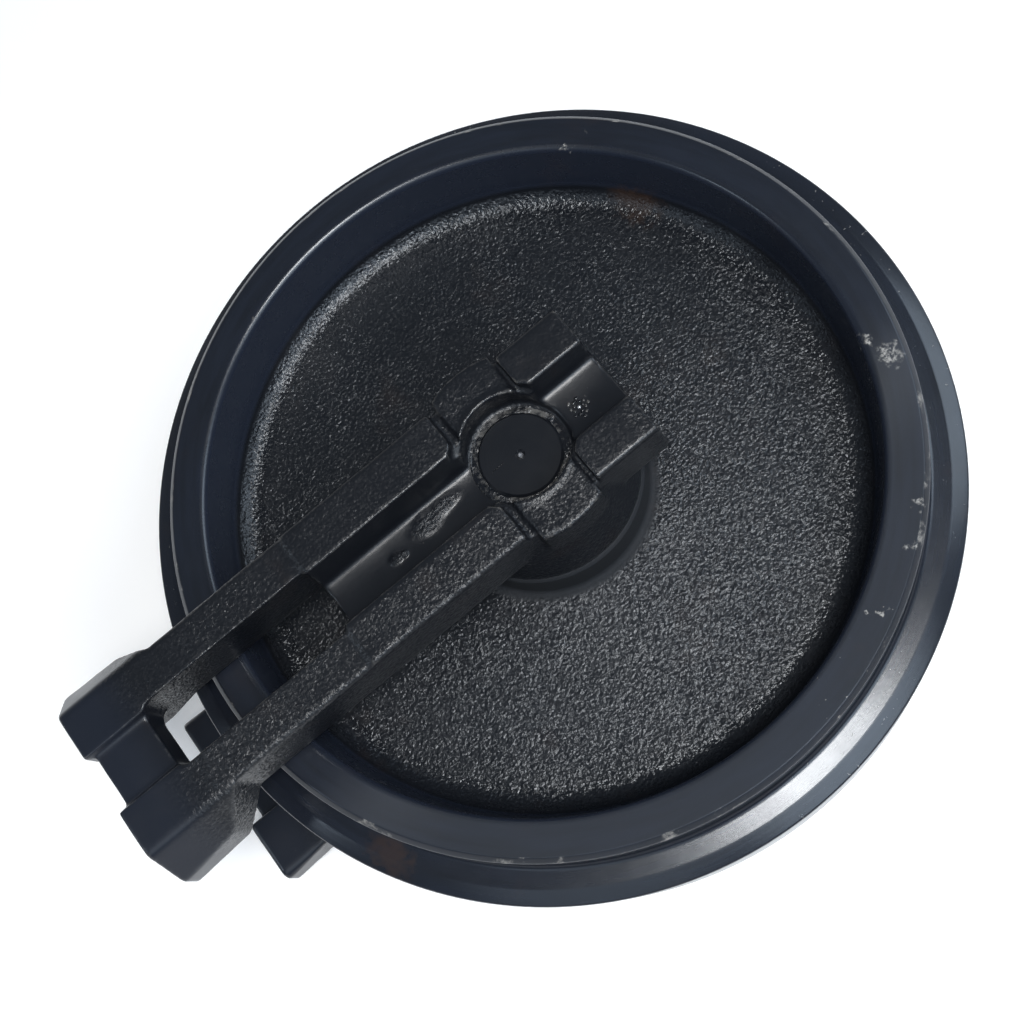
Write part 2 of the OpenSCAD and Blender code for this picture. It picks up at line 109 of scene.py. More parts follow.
# The line on the shaft's end, and the paint that fills the edge of the shaft's seat,
# given as distance from the shaft's edge and height
SCRIBED_PLACE = Vector((-0.0168, 0.0027, SHAFT_HIGH.z))
SCRIBED_SIZE = (0.0085, 0.0005, 0.0003)
SCRIBED_BREAK = 0.0001
SEAT_PAINT = ((-0.0004, 0.1090), (0.0065, 0.1090), (0.0060, 0.1108), (-0.0004, 0.1114))
SEAT_STEPS = 120

# The mark on the nose: beads on a spiral around a bright middle
MARK_PLACE = Vector((0.0496, -0.0017, 0.1150))
MARK_BEADS = 16
MARK_TURN = 2.4
MARK_START = 0.0028
MARK_GROWTH = 0.00032
BEAD_RADIUS = 0.0009
BEAD_GROWTH = 0.0001
BEAD_SIZES = 4
BEAD_SHAPE = (1.0, 1.5, 0.7, 1.0)
MIDDLE_RADIUS = 0.0013
MIDDLE_SHAPE = (1.0, 1.0, 0.6, 1.0)

# The stage: where the floor's glow grows, and where the horizon's light fades with height
GLOW_REACH = (0.6, 3.0)
HAZE_FADE = (0.32, 0.04)
WHITE = (1.0, 1.0, 1.0, 1.0)


# Properties

def length(name, description, default):
    return bpy.props.FloatProperty(name=name, description=description, default=default,
                                   unit="LENGTH", precision=4)


def share(name, description, default):
    return bpy.props.FloatProperty(name=name, description=description, default=default,
                                   subtype="FACTOR", min=0.0, max=1.0)


def count(name, description, default, least):
    return bpy.props.IntProperty(name=name, description=description, default=default, min=least)


def spot(name, description, default):
    return bpy.props.FloatVectorProperty(name=name, description=description, default=default,
                                         subtype="TRANSLATION", precision=4)


def watts(name, description, default):
    return bpy.props.FloatProperty(name=name, description=description, default=default,
                                   unit="POWER", min=0.0)


def tint(name, description, default):
    return bpy.props.FloatVectorProperty(name=name, description=description,
                                         default=(*default, 1.0), subtype="COLOR", size=4,
                                         min=0.0, max=1.0)


class WheelShape(bpy.types.PropertyGroup):
    """Radii and heights of the wheel's turned section"""
    flange_radius: length("Flange radius", "Radius over the centre flange", WHEEL_HIGH.x)
    flange_tip: length("Flange tip", "Half width of the flange at its tip", 0.042)
    flange_flank: length("Flank height", "Half width of the flange where its bevel starts", 0.046)
    flange_bevel: length("Flange bevel", "Radial height of the flange's bevel", 0.011)
    flange_root: length("Flange root", "Half width of the flange at the treads", 0.047)
    flange_foot: length("Flange foot", "Fillet between tread and flange", 0.005)
    tip_break: length("Tip break", "Break of the flange's tip", 0.0014)
    tread_radius: length("Tread radius", "Radius of the treads", 0.2625)
    tread_chamfer: length("Tread chamfer", "Chamfer between rim face and tread", 0.004)
    half_width: length("Half width", "Distance of the rim faces from the mid-plane", WHEEL_HIGH.z)
    rim_face: length("Rim face", "Radial width of the rim face", 0.0215)
    rim_edge: length("Rim edge", "Break of the rim's inner edge", 0.003)
    rim_slope_round: length("Slope round", "Rounding between rim slope and rim edge", 0.0018)
    rim_face_round: length("Face round", "Rounding between rim edge and rim face", 0.0020)
    fine_break: length("Fine break", "Break of the other turned edges", 0.001)
    web_radius: length("Web radius", "Radius where web and rim slope would meet", 0.230)
    web_height: length("Web height", "Distance of the web's surface from the mid-plane", 0.027)
    web_fillet: length("Web fillet", "Fillet between web and rim slope", 0.0158)
    hub_radius: length("Hub radius", "Radius of the hub boss", 0.076)
    hub_height: length("Hub height", "Distance of the hub's end from the mid-plane", 0.060)
    hub_edge: length("Hub edge", "Break of the hub's edge", 0.002)
    hub_edge_round: length("Hub edge round", "Rounding below the break of the hub's edge", 0.0004)
    hub_foot: length("Hub foot", "Fillet between hub and web", 0.005)
    bore_radius: length("Bore radius", "Radius of the bushes' seat", 0.03502)
    land_radius: length("Land radius", "Inner radius of the seal recess", 0.045)
    recess_radius: length("Recess radius", "Outer radius of the seal recess", 0.061)
    recess_depth: length("Recess depth", "Depth of the seal recess", 0.016)
    recess_ramp: length("Recess ramp", "Height of the slope in the seal recess", 0.004)
    recess_break: length("Recess break", "Break of the seal recess's edge", 0.0005)
    bush_seat: length("Bush seat", "Distance of the bush flange's seat from the mid-plane", 0.054)
    pocket_radius: length("Oil pocket radius", "Radius of the pocket between the bushes", 0.042)
    pocket_half: length("Oil pocket half length", "Half length of the oil pocket", 0.009)
    steps: count("Steps", "Flats round the wheel", 240, 24)


class CastSkin(bpy.types.PropertyGroup):
    """How the arms' castings are softened"""
    voxel: length("Grain of the casting", "Size of the cells that make the casting", 0.0017)
    softening: count("Softening", "Passes that round the edges", 2, 0)
    waviness: length("Waviness", "Height of the waves left by the mould", 0.00025)
    wave_pitch: length("Wave pitch", "Distance between the waves", 0.022)
    lump_height: length("Lump height", "Height of the rough lumps in the channel", 0.0016)


class Finishes(bpy.types.PropertyGroup):
    """Colours of paint, metal and rubber"""
    paint: tint("Black paint", "Gloss paint on the castings", (0.0052, 0.0060, 0.0080))
    # Lighter, bluer black: thin paint over turned metal, and also a painted reflection of the blue
    # sky
    thin_paint_and_blue_reflection: tint("Thin paint", "Paint on the turned rim", (0.0130, 0.0165, 0.0265))
    dust: tint("Dust", "Dry dust in the paint", (0.030, 0.029, 0.030))
    rust: tint("Rust", "Brown bloom where the paint is thin", (0.050, 0.026, 0.014))
    # Light rubbed colour for scuffs and chips, also used as a painted highlight on the arms' crests
    scuff_and_edge_highlight: tint("Scuff", "Rubbed paint and primer", (0.36, 0.34, 0.31))
    sheen: tint("Sheen", "Blue cast of the gloss on the wheel", (0.94, 0.97, 1.0))
    steel: tint("Steel", "Turned steel", (0.50, 0.50, 0.52))
    zinc: tint("Zinc", "Plated steel", (0.46, 0.47, 0.46))
    iron: tint("Seal iron", "Lapped seal iron", (0.34, 0.35, 0.37))
    bronze: tint("Bronze", "Bored bronze", (0.62, 0.40, 0.17))
    copper: tint("Copper", "Soft copper", (0.72, 0.36, 0.22))
    rubber: tint("Rubber", "Black rubber", (0.018, 0.018, 0.019))
    floor: tint("Floor", "Pale floor", (0.95, 0.93, 0.91))


class StageSetup(bpy.types.PropertyGroup):
    """Camera, lights and floor"""
    camera_place: spot("Camera place", "Where the camera stands", (-0.02028, -0.31575, 0.99108))
    camera_aim: spot("Camera aim", "The point in the picture's middle",
                     (-0.02899, -0.00397, 0.042))
    camera_roll: bpy.props.FloatProperty(name="Camera roll", subtype="ANGLE",
                                         description="Turn about the line of sight",
                                         default=math.radians(-41.224))
    lens: bpy.props.FloatProperty(name="Lens", description="Focal length in millimetres",
                                  default=49.749)
    key_power: watts("Key power", "Power of the key light", 39.0)
    key_size: length("Key size", "Diameter of the key light", 0.6)
    key_place: spot("Key place", "Where the key light hangs", (0.12, -0.60, 2.10))
    right_power: watts("Right power", "Power of the fill light on the right", 20.0)
    right_place: spot("Right place", "Where the fill light on the right hangs",
                      (1.70, -0.30, 1.50))
    front_power: watts("Front power", "Power of the fill light in front", 22.0)
    front_place: spot("Front place", "Where the fill light in front hangs", (0.37, -1.40, 1.74))
    left_power: watts("Left power", "Power of the fill light on the left", 5.0)
    left_place: spot("Left place", "Where the fill light on the left hangs", (-1.00, -1.10, 1.70))
    fill_size: length("Fill size", "Diameter of the fill lights", 1.3)
    side_power: watts("Side power", "Power of the small light beside the feet", 5.0)
    side_place: spot("Side place", "Where the small light beside the feet hangs",
                     (-1.75, 0.25, 1.35))
    side_size: length("Side size", "Diameter of the small light beside the feet", 0.45)
    cool: tint("Cool light", "Colour of the fill lights and the light from all sides",
               (0.75, 0.87, 1.0))
    sky: share("Sky", "Strength of the light from all sides", 0.17)
    haze: share("Haze", "Strength of the light from the horizon", 0.75)
    floor_size: length("Floor size", "Side of the floor", 24.0)
    near_glow: share("Near glow", "Light of the floor around the part", 0.14)
    far_glow: share("Far glow", "Light of the floor far away", 0.62)


# Shader trees

def add(tree, kind, inputs=None, **settings):
    """A node with its settings, and its inputs set or linked"""
    made = tree.nodes.new(kind)
    for name, value in settings.items():
        setattr(made, name, value)
    for name, value in (inputs or {}).items():
        if isinstance(value, bpy.types.NodeSocket):
            tree.links.new(value, made.inputs[name])
        else:
            made.inputs[name].default_value = value
    return made


def calc(tree, operation, a, b=0.0):
    return add(tree, "ShaderNodeMath", {0: a, 1: b}, operation=operation).outputs[0]


def times(tree, a, b):
    return calc(tree, "MULTIPLY", a, b)


def plus(tree, a, b):
    return calc(tree, "ADD", a, b)


def larger(tree, a, b):
    return calc(tree, "MAXIMUM", a, b)


def opposite(tree, value):
    return calc(tree, "SUBTRACT", 1.0, value)


def vector(tree, operation, *values):
    made = add(tree, "ShaderNodeVectorMath", dict(enumerate(values)), operation=operation)
    return made.outputs["Value" if operation == "LENGTH" else "Vector"]


def scaled(tree, value, factor):
    inputs = {0: value, "Scale": factor}
    return add(tree, "ShaderNodeVectorMath", inputs, operation="SCALE").outputs["Vector"]


def separate(tree, value):
    return add(tree, "ShaderNodeSeparateXYZ", {0: value}).outputs


def combine(tree, *values):
    return add(tree, "ShaderNodeCombineXYZ", dict(enumerate(values))).outputs[0]


def fade(tree, value, start, end):
    """0 before start, 1 after end, with a soft change between them; start may lie above end"""
    steps = {"Value": value, "From Min": start, "From Max": end, "To Min": 0.0, "To Max": 1.0}
    made = add(tree, "ShaderNodeMapRange", steps, interpolation_type="SMOOTHSTEP")
    return made.outputs["Result"]


def band(tree, value, low, high, soft):
    """1 between low and high, 0 further out"""
    return times(tree, fade(tree, value, low - soft, low), fade(tree, value, high + soft, high))


def between(tree, factor, a, b):
    return add(tree, "ShaderNodeMix", {0: factor, 2: a, 3: b}, data_type="FLOAT").outputs[0]


def blend_colour(tree, factor, a, b):
    return add(tree, "ShaderNodeMix", {0: factor, 6: a, 7: b}, data_type="RGBA").outputs[2]


def coat(tree, colour, over, mask, strength):
    """A colour with another over it, as strong as given where the mask is 1"""
    return blend_colour(tree, times(tree, mask, strength), colour, over)


def cloud(tree, place, scale, detail=2.0, roughness=0.5):
    values = {"Vector": place, "Scale": scale, "Detail": detail, "Roughness": roughness}
    return add(tree, "ShaderNodeTexNoise", values).outputs[0]


def ragged(tree, place, pitch, amount):
    """Coordinates shifted here and there, which tears the outline of marks"""
    values = {"Vector": place, "Scale": pitch, "Detail": 4.0}
    shift = add(tree, "ShaderNodeTexNoise", values).outputs["Color"]
    shift = vector(tree, "SUBTRACT", shift, (0.5, 0.5, 0.5))
    return vector(tree, "ADD", place, scaled(tree, shift, amount))


def near(tree, place, marks):
    """1 at the middle of any of the marks, 0 outside their reach"""
    mask = None
    for middle, reach in marks:
        away = vector(tree, "SUBTRACT", place, middle)
        away = vector(tree, "LENGTH", vector(tree, "DIVIDE", away, reach))
        patch = fade(tree, away, 1.0, 0.3)
        mask = patch if mask is None else larger(tree, mask, patch)
    return mask


def new_group(name, pitch, outputs):
    """An empty node group with a place, a pitch if one is given, and the named outputs"""
    tree = bpy.data.node_groups.new(name, "ShaderNodeTree")
    socket = tree.interface.new_socket
    socket(name="Place", in_out="INPUT", socket_type="NodeSocketVector")
    if pitch:
        made = socket(name="Pitch", in_out="INPUT", socket_type="NodeSocketFloat")
        made.default_value = pitch
    for label in outputs:
        kind = "NodeSocketVector" if label == "Tilt" else "NodeSocketFloat"
        socket(name=label, in_out="OUTPUT", socket_type=kind)
    given = tree.nodes.new("NodeGroupInput").outputs
    return tree, given, tree.nodes.new("NodeGroupOutput")


def cast_grain():
    """Pebbled skin that sand leaves: its height, and a tilt by which single grains glint"""
    name = "Cast grain"
    if name in bpy.data.node_groups:
        return bpy.data.node_groups[name]
    tree, given, out = new_group(name, 430.0, ["Height", "Tilt"])
    place, pitch = given["Place"], given["Pitch"]
    cells = {"Vector": place, "Scale": times(tree, pitch, 1.4)}
    cells = add(tree, "ShaderNodeTexVoronoi", cells, feature="F1").outputs["Color"]
    feed(tree, out, Height=cloud(tree, place, pitch),
         Tilt=vector(tree, "SUBTRACT", cells, (0.5, 0.5, 0.5)))
    return tree


def turning_marks():
    """Fine rings left by a lathe around the Z axis"""
    name = "Turning marks"
    if name in bpy.data.node_groups:
        return bpy.data.node_groups[name]
    tree, given, out = new_group(name, 800.0, ["Height", "Streak", "Radius"])
    split = separate(tree, given["Place"])
    flat = combine(tree, split["X"], split["Y"])
    radius = vector(tree, "LENGTH", flat)
    aim = separate(tree, vector(tree, "NORMALIZE", flat))
    depth = plus(tree, radius, split["Z"])
    rings = combine(tree, times(tree, depth, given["Pitch"]), aim["X"], aim["Y"])
    bands = combine(tree, times(tree, depth, 130.0), times(tree, aim["X"], 3.5),
                    times(tree, aim["Y"], 3.5))
    feed(tree, out, Height=cloud(tree, rings, 1.0), Streak=cloud(tree, bands, 1.0, 4.0, 0.6),
         Radius=radius)
    return tree


def paint_film():
    """Dust, uneven gloss, small chips and rusty bloom in a coat of paint"""
    name = "Paint film"
    if name in bpy.data.node_groups:
        return bpy.data.node_groups[name]
    tree, given, out = new_group(name, None, ["Dust", "Gloss", "Chips", "Bloom"])
    place = given["Place"]
    specks = fade(tree, cloud(tree, place, 240.0, 3.0, 0.6), 0.69, 0.73)
    patches = fade(tree, cloud(tree, place, 11.0, 3.0), 0.52, 0.70)
    feed(tree, out, Dust=fade(tree, cloud(tree, place, 13.0, 6.0, 0.62), 0.46, 0.78),
         Gloss=cloud(tree, place, 46.0, 4.0, 0.6), Chips=times(tree, specks, patches),
         Bloom=fade(tree, cloud(tree, place, 21.0, 5.0, 0.6), 0.56, 0.80))
    return tree


def use(tree, group, **inputs):
    return add(tree, "ShaderNodeGroup", inputs, node_tree=group).outputs


def blank_material(name):
    """An empty material: its tree, its shader and its object coordinates"""
    material = bpy.data.materials.new("idler_" + name)
    material.use_nodes = True
    tree = material.node_tree
    shader = tree.nodes["Principled BSDF"]
    place = tree.nodes.new("ShaderNodeTexCoord").outputs["Object"]
    return material, tree, shader, place


def relief(tree, shader, height, distance, tilt=None):
    """Bumps of the given height, and grains tilted to glint"""
    bumps = {"Height": height, "Distance": distance, "Strength": 1.0}
    normal = add(tree, "ShaderNodeBump", bumps).outputs["Normal"]
    if tilt is not None:
        normal = vector(tree, "NORMALIZE", vector(tree, "ADD", normal, tilt))
    feed(tree, shader, Normal=normal)


def feed(tree, node, **sockets):
    """Links values to a node's inputs, named with _ for a space"""
    for name, value in sockets.items():
        tree.links.new(value, node.inputs[name.replace("_", " ")])


def arm_paint(colours):
    """Gloss black over a casting: pebbled on one rail and around the seat, smoother elsewhere;
    painted reflection on the feet, worn and painted-highlit crests
    """
    smooth, pebbly, crested, lumpy = 0.24, 0.30, 0.17, 0.40
    material, tree, shader, place = blank_material("arm_paint")
    split = separate(tree, place)
    film = use(tree, paint_film(), Place=place)
    grain = use(tree, cast_grain(), Place=place)
    radius = use(tree, turning_marks(), Place=place)["Radius"]
    rail = fade(tree, split["Y"], *ROUGH_RAIL)
    faint = times(tree, fade(tree, split["Y"], *FAINT_RAIL), 0.8)
    nose = band(tree, split["X"], *NOSE_SPAN, 0.012)
    foot = fade(tree, split["X"], *FOOT_ZONE)
    tamed = opposite(tree, larger(tree, times(tree, nose, 0.6), foot))
    seat = times(tree, band(tree, radius, *SEAT_SPAN, 0.0015),
                 fade(tree, cloud(tree, place, 70.0), 0.40, 0.56))
    pebbled = times(tree, larger(tree, rail, faint), tamed)
    patchy = between(tree, fade(tree, cloud(tree, place, 18.0, 3.0), 0.40, 0.62), 0.65, 1.0)
    pebbled = plus(tree, times(tree, pebbled, patchy), 0.05)
    coarse = larger(tree, times(tree, seat, 0.9), near(tree, place, CHANNEL_LUMPS))
    pebbled = larger(tree, pebbled, times(tree, coarse, 1.7))
    crest = tree.nodes.new("ShaderNodeNewGeometry").outputs["Pointiness"]
    crest = fade(tree, crest, 0.52, 0.57)
    # Crests are coloured lighter: worn paint, and a painted highlight standing in for glints along
    # the edges
    worn_and_highlit_crests = times(tree, crest, fade(tree, cloud(tree, place, 130.0, 4.0, 0.6), 0.45, 0.65))
    # The feet are painted lighter and bluer, a painted reflection of the sky on their tops
    colour = coat(tree, colours.paint, colours.thin_paint_and_blue_reflection, foot, 0.5)
    colour = coat(tree, colour, colours.dust, film["Dust"], 0.20)
    colour = coat(tree, colour, colours.rust, film["Bloom"], 0.10)
    colour = coat(tree, colour, colours.scuff_and_edge_highlight, film["Chips"], 0.3)
    colour = coat(tree, colour, colours.scuff_and_edge_highlight, worn_and_highlit_crests, 0.20)
    gloss = plus(tree, between(tree, pebbled, smooth, pebbly), times(tree, film["Gloss"], 0.14))
    gloss = between(tree, coarse, between(tree, crest, gloss, crested), lumpy)
    feed(tree, shader, Base_Color=colour, Roughness=gloss)
    shader.inputs["Specular IOR Level"].default_value = 0.37
    relief(tree, shader, times(tree, grain["Height"], pebbled), 0.0008,
           scaled(tree, grain["Tilt"], times(tree, pebbled, 0.25)))
    return material


def wheel_paint(colours, shape):
    """Gloss black: pebbled on cast webs, thin over turning marks on rim and flange, painted sky
    sheen on the rim slope
    """
    cast, machined, fillet, polished = 0.29, 0.25, 0.22, 0.19
    edged, bared, dulled = 0.34, 0.6, 0.8
    material, tree, shader, place = blank_material("wheel_paint")
    film = use(tree, paint_film(), Place=place)
    grain = use(tree, cast_grain(), Place=place)
    marks = use(tree, turning_marks(), Place=place, Pitch=900.0)
    split = separate(tree, place)
    radius = marks["Radius"]
    rim_start = shape.tread_radius - shape.tread_chamfer - shape.rim_face
    rim_end = rim_start + shape.rim_face
    web = times(tree, fade(tree, radius, shape.hub_radius - 0.001, shape.hub_radius + 0.008),
                fade(tree, radius, shape.web_radius - 0.0005, shape.web_radius - 0.004))
    patchy = between(tree, fade(tree, cloud(tree, place, 16.0, 3.0), 0.36, 0.64), 0.80, 1.15)
    web = plus(tree, times(tree, web, patchy), 0.03)
    hub = fade(tree, radius, shape.hub_radius + 0.009, shape.hub_radius + 0.004)
    hollow = band(tree, radius, shape.web_radius - 0.016, rim_start, 0.006)
    wall = fade(tree, radius, shape.web_radius - 0.001, shape.web_radius + 0.001)
    turned = fade(tree, radius, rim_start - 0.003, rim_start)
    flange = fade(tree, radius, shape.tread_radius + 0.001, shape.tread_radius + 0.003)
    outer = fade(tree, calc(tree, "ABSOLUTE", split["Z"]),
                 shape.half_width - 0.007, shape.half_width - 0.004)
    edge = times(tree, outer, fade(tree, radius, rim_end - 0.0006, rim_end))
    handled = times(tree, band(tree, radius, rim_start, rim_end, 0.002),
                    fade(tree, split["Y"], *HANDLED_SIDE))
    torn = ragged(tree, place, 170.0, 0.022)
    rusty = larger(tree, times(tree, film["Bloom"], 0.10),
                   times(tree, near(tree, torn, RUSTY_PLACES), 0.32))
    scuffed = times(tree, fade(tree, cloud(tree, place, 420.0, 4.0, 0.65), 0.38, 0.60), 0.75)
    scuffed = times(tree, near(tree, torn, RIM_SCUFFS), scuffed)
    nicks = times(tree, edge, fade(tree, cloud(tree, place, 34.0, 6.0, 0.7), 0.56, 0.66))
    chips = times(tree, film["Chips"], times(tree, turned, 0.5))
    worn = larger(tree, larger(tree, scuffed, times(tree, nicks, 0.5)), chips)
    # Painted sky reflection: the rim's slope takes the lighter, bluer colour in full, the turned
    # faces in streaks over their turning marks
    thin = times(tree, turned, plus(tree, marks["Streak"], 0.1))
    thin = blend_colour(tree, thin, colours.thin_paint_and_blue_reflection, colours.paint)
    colour = coat(tree, colours.paint, colours.dust, film["Dust"], 0.18)
    colour = blend_colour(tree, wall, colour, thin)
    colour = blend_colour(tree, rusty, colour, colours.rust)
    colour = blend_colour(tree, worn, colour, colours.scuff_and_edge_highlight)
    gloss = between(tree, flange, between(tree, turned, cast, machined), polished)
    gloss = between(tree, hollow, gloss, fillet)
    gloss = plus(tree, gloss, times(tree, film["Gloss"], 0.10))
    gloss = between(tree, handled, gloss, dulled)
    gloss = between(tree, worn, between(tree, edge, gloss, edged), bared)
    gloss = between(tree, hub, gloss, dulled)
    feed(tree, shader, Base_Color=colour, Roughness=gloss)
    shader.inputs["Specular IOR Level"].default_value = 0.44
    shader.inputs["Specular Tint"].default_value = colours.sheen
    rings = times(tree, marks["Height"], times(tree, turned, 0.05))
    relief(tree, shader, plus(tree, times(tree, grain["Height"], web), rings), 0.0008,
           scaled(tree, grain["Tilt"], times(tree, web, 0.22)))
    return material


def shaft_paint(colours):
    """Ground steel with black paint on both ends and a bare centre drilling"""
    ground, painted = 0.18, 0.24
    material, tree, shader, place = blank_material("shaft_paint")
    split = separate(tree, place)
    film = use(tree, paint_film(), Place=place)
    marks = use(tree, turning_marks(), Place=place, Pitch=1300.0)
    ends = fade(tree, calc(tree, "ABSOLUTE", split["Z"]),
                SHAFT_HIGH.z - 0.014, SHAFT_HIGH.z - 0.010)
    bare = times(tree, fade(tree, marks["Radius"], 0.0020, 0.0010), 0.4)
    ends = times(tree, ends, opposite(tree, bare))
    paint = coat(tree, colours.paint, colours.dust, film["Dust"], 0.25)
    steel = blend_colour(tree, marks["Streak"], colours.steel, colours.iron)
    gloss = plus(tree, between(tree, ends, ground, painted), times(tree, film["Gloss"], 0.12))
    feed(tree, shader, Base_Color=blend_colour(tree, ends, steel, paint),
         Metallic=opposite(tree, ends), Roughness=gloss)
    shader.inputs["Specular IOR Level"].default_value = 0.37
    relief(tree, shader, times(tree, marks["Height"], 0.05), 0.001)
    return material


def turned_metal(name, colour, shade, polish, pitch=1100.0):
    """Bare metal with a lathe's rings"""
    material, tree, shader, place = blank_material(name)
    film = use(tree, paint_film(), Place=place)
    marks = use(tree, turning_marks(), Place=place, Pitch=pitch)
    tone = coat(tree, colour, shade, marks["Streak"], 0.6)
    tone = coat(tree, tone, shade, film["Dust"], 0.35)
    feed(tree, shader, Base_Color=tone,
         Roughness=plus(tree, times(tree, film["Gloss"], 0.2), polish))
    shader.inputs["Metallic"].default_value = 1.0
    relief(tree, shader, times(tree, marks["Height"], 0.08), 0.001)
    return material


def seal_rubber(colours):
    """Moulded rubber with a faint grain and an oily sheen"""
    material, tree, shader, place = blank_material("seal_rubber")
    film = use(tree, paint_film(), Place=place)
    grain = use(tree, cast_grain(), Place=place, Pitch=700.0)["Height"]
    colour = coat(tree, colours.rubber, colours.dust, film["Dust"], 0.3)
    feed(tree, shader, Base_Color=colour,
         Roughness=plus(tree, times(tree, film["Gloss"], 0.3), 0.35))
    relief(tree, shader, times(tree, grain, 0.3), 0.0004)
    return material


# Mesh work

def keep(name, bm, material, body, sharp=TURNED_SHARP):
    """Turns a finished bmesh into an object that rides on a body"""
    mesh = bpy.data.meshes.new(name)
    bm.to_mesh(mesh)
    bm.free()
    mesh.materials.append(material)
    mesh.shade_smooth()
    mesh.set_sharp_from_angle(angle=sharp)
    piece = bpy.data.objects.new(name, mesh)
    bpy.context.scene.collection.objects.link(piece)
    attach(piece, body)
    return piece


def dress(node, material):
    """Gives a CAD node its finish"""
    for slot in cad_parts[node].material_slots:
        slot.material = material


def soft_casting(node, skin):
    """A copy of a CAD node as a casting, its edges rounded and its faces slightly wavy"""
    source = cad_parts[node]
    bm = bmesh.new()
    bm.from_mesh(source.data)
    bmesh.ops.remove_doubles(bm, verts=bm.verts, dist=WELD)
    pattern = bpy.data.meshes.new(node + "_pattern")
    bm.to_mesh(pattern)
    bm.free()
    mould = bpy.data.objects.new(node + "_mould", pattern)
    bpy.context.scene.collection.objects.link(mould)
    cells = mould.modifiers.new("Cells", "REMESH")
    cells.mode = "VOXEL"
    cells.voxel_size = skin.voxel
    bpy.context.view_layer.update()
    cast = mould.evaluated_get(bpy.context.evaluated_depsgraph_get())
    bm = bmesh.new()
    bm.from_mesh(cast.to_mesh())
    cast.to_mesh_clear()
    bpy.data.objects.remove(mould)
    bpy.data.meshes.remove(pattern)
    for _ in range(skin.softening):
        bmesh.ops.smooth_vert(bm, verts=bm.verts, factor=0.5,
                              use_axis_x=True, use_axis_y=True, use_axis_z=True)
    bm.normal_update()
    low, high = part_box(node)
    for vert in bm.verts:
        rise = (noise.noise(vert.co / skin.wave_pitch) - 0.4) * skin.waviness
        for middle, reach in CHANNEL_LUMPS:
            away = Vector(d / r for d, r in zip(vert.co - middle, reach)).length
            if away < 1.0:
                knob = 0.6 + 0.8 * noise.noise(vert.co / LUMP_PITCH)
                rise += (1.0 - away * away) * knob * skin.lump_height
        vert.co += vert.normal * rise
        vert.co = Vector(min(max(c, a), b) for c, a, b in zip(vert.co, low, high))
    return bm


def turned_solid(corners, steps):
    """Spins a section, given as radius, height and corner cut, round the Z axis"""
    bm = bmesh.new()
    verts = [bm.verts.new((radius, 0.0, height)) for radius, height, cut in corners]
    for a, b in zip(verts, verts[1:] + verts[:1]):
        bm.edges.new((a, b))
    for vert, (radius, height, cut) in zip(verts, corners):
        if cut:
            bmesh.ops.bevel(bm, geom=[vert], offset=cut, offset_type="OFFSET",
                            affect="VERTICES", segments=CORNER_SEGMENTS, profile=0.5,
                            material=-1)
    bmesh.ops.spin(bm, geom=bm.verts[:] + bm.edges[:], cent=(0, 0, 0), axis=(0, 0, 1),
                   angle=math.tau, steps=steps, use_merge=True)
    bmesh.ops.remove_doubles(bm, verts=bm.verts, dist=WELD)
    bmesh.ops.recalc_face_normals(bm, faces=bm.faces)
    return bm


# Operators

class IDLER_OT_arms(bpy.types.Operator):
    """Casts and paints the two arms"""
    bl_idname = "idler.arms"
    bl_label = "Arms"

    def execute(self, context):
        paint = arm_paint(context.scene.idler_finishes)
        for side in BOTH_SIDES:
            node = side + "_arm"
            piece = keep(node + "_casting", soft_casting(node, context.scene.idler_skin), paint,
                         "arms_and_shaft", CAST_SHARP)
            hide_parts(node)
            dress(node, paint)
        return {"FINISHED"}


class IDLER_OT_wheel(bpy.types.Operator):
    """Turns and paints the wheel"""
    bl_idname = "idler.wheel"
    bl_label = "Wheel"

    def execute(self, context):
        s = context.scene.idler_wheel
        paint = wheel_paint(context.scene.idler_finishes, s)
        rim_start = s.tread_radius - s.tread_chamfer - s.rim_face
        recess_floor = s.hub_height - s.recess_depth
        section = [
            (s.pocket_radius, s.pocket_half, 0),
            (s.bore_radius, s.pocket_half, 0),
            (s.bore_radius, s.bush_seat, 0),
            (s.land_radius, s.bush_seat, 0),
            (s.land_radius, recess_floor, 0),
            (s.recess_radius - s.recess_ramp / 2, recess_floor, 0),
            (s.recess_radius, recess_floor + s.recess_ramp, 0),
            (s.recess_radius, s.hub_height, s.recess_break),
            (s.hub_radius - s.hub_edge, s.hub_height, s.fine_break),
            (s.hub_radius, s.hub_height - s.hub_edge, s.hub_edge_round),
            (s.hub_radius, s.web_height, s.hub_foot),
            (s.web_radius, s.web_height, s.web_fillet),
            (rim_start - s.rim_edge, s.half_width - s.rim_edge, s.rim_slope_round),
            (rim_start, s.half_width, s.rim_face_round),
            (rim_start + s.rim_face, s.half_width, s.fine_break),
            (s.tread_radius, s.half_width - s.tread_chamfer, s.fine_break),
            (s.tread_radius, s.flange_root, s.flange_foot),
            (s.flange_radius - s.flange_bevel, s.flange_flank, s.fine_break),
            (s.flange_radius, s.flange_tip, s.tip_break),
        ]
        section += [(radius, -height, cut) for radius, height, cut in reversed(section)]
        piece = keep("idler_wheel_casting", turned_solid(section, s.steps), paint,
                     "wheel")
        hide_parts("idler_wheel")
        dress("idler_wheel", paint)
        return {"FINISHED"}


